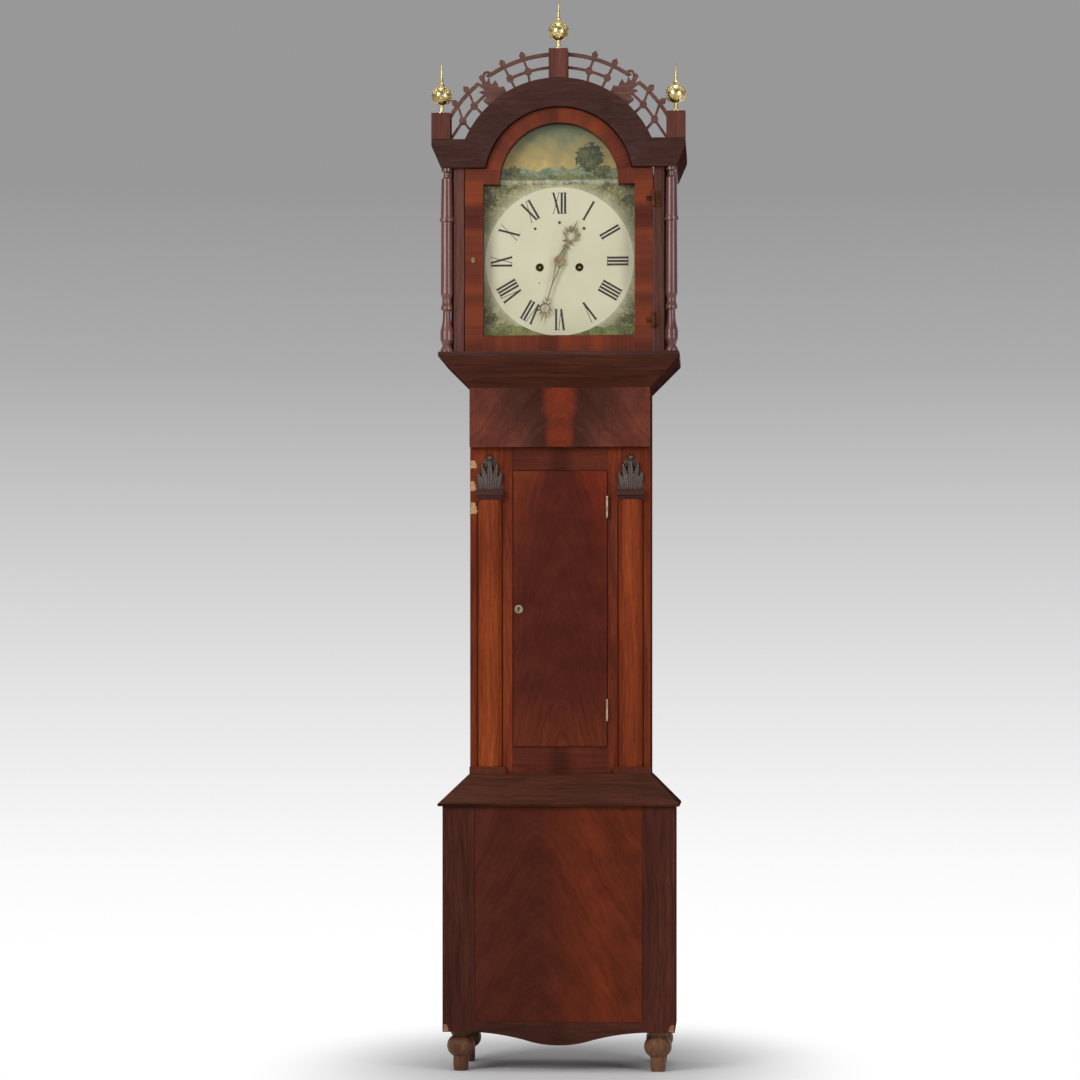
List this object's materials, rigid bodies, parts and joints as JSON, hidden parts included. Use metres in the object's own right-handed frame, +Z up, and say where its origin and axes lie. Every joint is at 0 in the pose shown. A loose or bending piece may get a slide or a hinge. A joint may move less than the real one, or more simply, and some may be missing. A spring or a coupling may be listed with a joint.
{
  "type": "longcase clock",
  "caption": "Tall floor clock with turned feet, panelled base, trunk with door and half columns, sliding arched hood with glazed door, fretwork, finials and a weight-driven striking movement.",
  "frame": {"origin": "on the floor under the middle of the clock", "axes": "+X to the right as seen from the front, +Y back to the wall, +Z up"},
  "size_m": [0.546, 0.271, 2.307],
  "materials": {
    "mahogany": "polished",
    "veneer": "polished",
    "pine": "bare",
    "brass": "polished",
    "steel": "satin",
    "lead_iron": "rough",
    "painted_dial": "satin",
    "glass": "polished",
    "gut": "satin"
  },
  "bodies": {
    "case": {"turned_feet": "mahogany", "base_carcass": "mahogany", "base_frame": "mahogany", "base_front_panel": "veneer", "base_moulding": "mahogany", "backboard": "pine", "trunk_sides": "mahogany", "trunk_front_frame": "mahogany", "trunk_frieze": "veneer", "trunk_columns": "mahogany", "column_capitals": "mahogany", "throat_moulding": "mahogany", "seatboard": "pine", "trunk_hinge_plates": "brass", "dial": "painted_dial", "movement_frame": "brass", "bell": "steel", "going_line": "gut", "strike_line": "gut"},
    "trunk_door": {"trunk_door": "veneer", "trunk_door_hinges": "brass", "trunk_lock": "brass"},
    "lock_bolt": {"trunk_lock_bolt": "steel"},
    "hood": {"hood_base_frame": "mahogany", "hood_sides": "mahogany", "hood_cornice": "mahogany", "hood_roof": "pine", "finial_plinths": "mahogany", "brass_finials": "brass", "hood_columns": "mahogany", "fretwork": "mahogany", "hood_hinge_plates": "brass", "hood_mask": "pine"},
    "hood_door": {"hood_door": "veneer", "hood_glass": "glass", "hood_escutcheon": "brass", "hood_door_hinges": "brass"},
    "centre": {"centre_wheel": "brass", "minute_hand": "brass"},
    "going_great": {"going_great_wheel": "brass"},
    "going_barrel": {"going_barrel": "brass"},
    "third": {"third_wheel": "brass"},
    "escape": {"escape_wheel": "brass"},
    "anchor": {"anchor_crutch": "steel"},
    "pendulum": {"pendulum_rod": "steel", "pendulum_bob": "brass"},
    "rating_nut": {"rating_nut": "brass"},
    "minute_wheel": {"minute_wheel": "brass"},
    "hour": {"hour_hand": "brass"},
    "strike_great": {"strike_great_wheel": "brass"},
    "strike_barrel": {"strike_barrel": "brass"},
    "pin": {"pin_wheel": "brass"},
    "gathering": {"gathering_wheel": "brass"},
    "warning": {"warning_wheel": "brass"},
    "fly": {"fly": "brass"},
    "hammer": {"strike_hammer": "steel"},
    "going_weight": {"going_weight": "lead_iron"},
    "going_pulley": {"going_pulley": "brass"},
    "strike_weight": {"strike_weight": "lead_iron"},
    "strike_pulley": {"strike_pulley": "brass"}
  },
  "joints": [
    {"name": "trunk_door_hinge", "type": "hinge", "parent": "case", "child": "trunk_door", "pos_m": [0.102, -0.0559, 0.699], "axis": [0, 0, 1], "range_deg": [0, 115]},
    {"name": "lock_bolt_throw", "type": "slide", "parent": "trunk_door", "child": "lock_bolt", "axis": [-1, 0, 0], "range_m": [0, 0.006]},
    {"name": "hood_slide", "type": "slide", "parent": "case", "child": "hood", "axis": [0, -1, 0], "range_m": [0, 0.27]},
    {"name": "hood_door_hinge", "type": "hinge", "parent": "hood", "child": "hood_door", "pos_m": [0.20375, -0.1085, 1.55], "axis": [0, 0, 1], "range_deg": [0, 110]},
    {"name": "centre_arbor", "type": "hinge", "parent": "case", "child": "centre", "pos_m": [0, 0, 1.75], "axis": [0, 1, 0], "continuous": true},
    {"name": "going_great_arbor", "type": "hinge", "parent": "case", "child": "going_great", "pos_m": [0.043, 0, 1.737], "axis": [0, 1, 0], "continuous": true},
    {"name": "third_arbor", "type": "hinge", "parent": "case", "child": "third", "pos_m": [0.0099, 0, 1.78085], "axis": [0, 1, 0], "continuous": true},
    {"name": "escape_arbor", "type": "hinge", "parent": "case", "child": "escape", "pos_m": [0, 0, 1.808], "axis": [0, 1, 0], "continuous": true},
    {"name": "minute_wheel_arbor", "type": "hinge", "parent": "case", "child": "minute_wheel", "pos_m": [-0.0056, 0, 1.71849], "axis": [0, 1, 0], "continuous": true},
    {"name": "hour_pipe", "type": "hinge", "parent": "case", "child": "hour", "pos_m": [0, 0, 1.75], "axis": [0, 1, 0], "continuous": true},
    {"name": "pendulum_swing", "type": "hinge", "parent": "case", "child": "pendulum", "pos_m": [0, 0.0675, 1.838], "axis": [0, 1, 0], "range_deg": [-2.5, 2.5]},
    {"name": "anchor_swing", "type": "hinge", "parent": "case", "child": "anchor", "pos_m": [0, 0.0675, 1.838], "axis": [0, 1, 0], "range_deg": [-2.5, 2.5]},
    {"name": "rating_nut_turn", "type": "hinge", "parent": "pendulum", "child": "rating_nut", "pos_m": [0, 0.0675, 0.7805], "axis": [0, 0, 1], "continuous": true},
    {"name": "warning_arbor", "type": "hinge", "parent": "case", "child": "warning", "pos_m": [-0.044, 0, 1.80712], "axis": [0, 1, 0], "continuous": true},
    {"name": "fly_arbor", "type": "hinge", "parent": "case", "child": "fly", "pos_m": [-0.032, 0, 1.81632], "axis": [0, 1, 0], "continuous": true},
    {"name": "gathering_arbor", "type": "hinge", "parent": "case", "child": "gathering", "pos_m": [-0.056, 0, 1.79424], "axis": [0, 1, 0], "continuous": true},
    {"name": "pin_arbor", "type": "hinge", "parent": "case", "child": "pin", "pos_m": [-0.043, 0, 1.7761], "axis": [0, 1, 0], "continuous": true},
    {"name": "strike_great_arbor", "type": "hinge", "parent": "case", "child": "strike_great", "pos_m": [-0.043, 0, 1.737], "axis": [0, 1, 0], "continuous": true},
    {"name": "hammer_lift", "type": "hinge", "parent": "case", "child": "hammer", "pos_m": [-0.058, 0, 1.822], "axis": [0, -1, 0], "range_deg": [0, 10], "stiffness_Nm_per_rad": 0.2, "springref_deg": -5.73},
    {"name": "going_weight_lift", "type": "slide", "parent": "case", "child": "going_weight", "axis": [0, 0, 1], "range_m": [0, 1.05], "deforming": ["going_line"]},
    {"name": "going_pulley_pin", "type": "hinge", "parent": "going_weight", "child": "going_pulley", "pos_m": [0.0467, 0, 0.553], "axis": [0, 1, 0], "continuous": true},
    {"name": "going_barrel_arbor", "type": "hinge", "parent": "going_great", "child": "going_barrel", "pos_m": [0.043, 0, 1.737], "axis": [0, 1, 0], "continuous": true},
    {"name": "strike_weight_lift", "type": "slide", "parent": "case", "child": "strike_weight", "axis": [0, 0, 1], "range_m": [0, 1.05], "deforming": ["strike_line"]},
    {"name": "strike_pulley_pin", "type": "hinge", "parent": "strike_weight", "child": "strike_pulley", "pos_m": [-0.0893, 0, 0.553], "axis": [0, 1, 0], "continuous": true},
    {"name": "strike_barrel_arbor", "type": "hinge", "parent": "strike_great", "child": "strike_barrel", "pos_m": [-0.043, 0, 1.737], "axis": [0, 1, 0], "continuous": true}
  ],
  "couplings": [
    {"joint": "going_great_arbor", "follows": "centre_arbor", "ratio": -0.083333},
    {"joint": "third_arbor", "follows": "centre_arbor", "ratio": -8},
    {"joint": "escape_arbor", "follows": "centre_arbor", "ratio": 60},
    {"joint": "minute_wheel_arbor", "follows": "centre_arbor", "ratio": -1},
    {"joint": "hour_pipe", "follows": "centre_arbor", "ratio": 0.083333},
    {"joint": "anchor_swing", "follows": "pendulum_swing", "ratio": 1},
    {"joint": "fly_arbor", "follows": "pin_arbor", "ratio": -384},
    {"joint": "gathering_arbor", "follows": "pin_arbor", "ratio": -8},
    {"joint": "warning_arbor", "follows": "pin_arbor", "ratio": 56},
    {"joint": "strike_great_arbor", "follows": "pin_arbor", "ratio": -0.095238},
    {"joint": "going_pulley_pin", "follows": "going_weight_lift", "rad_per_m": 40},
    {"joint": "going_barrel_arbor", "follows": "going_weight_lift", "rad_per_m": 93.897},
    {"joint": "strike_pulley_pin", "follows": "strike_weight_lift", "rad_per_m": -40},
    {"joint": "strike_barrel_arbor", "follows": "strike_weight_lift", "rad_per_m": 93.897}
  ]
}
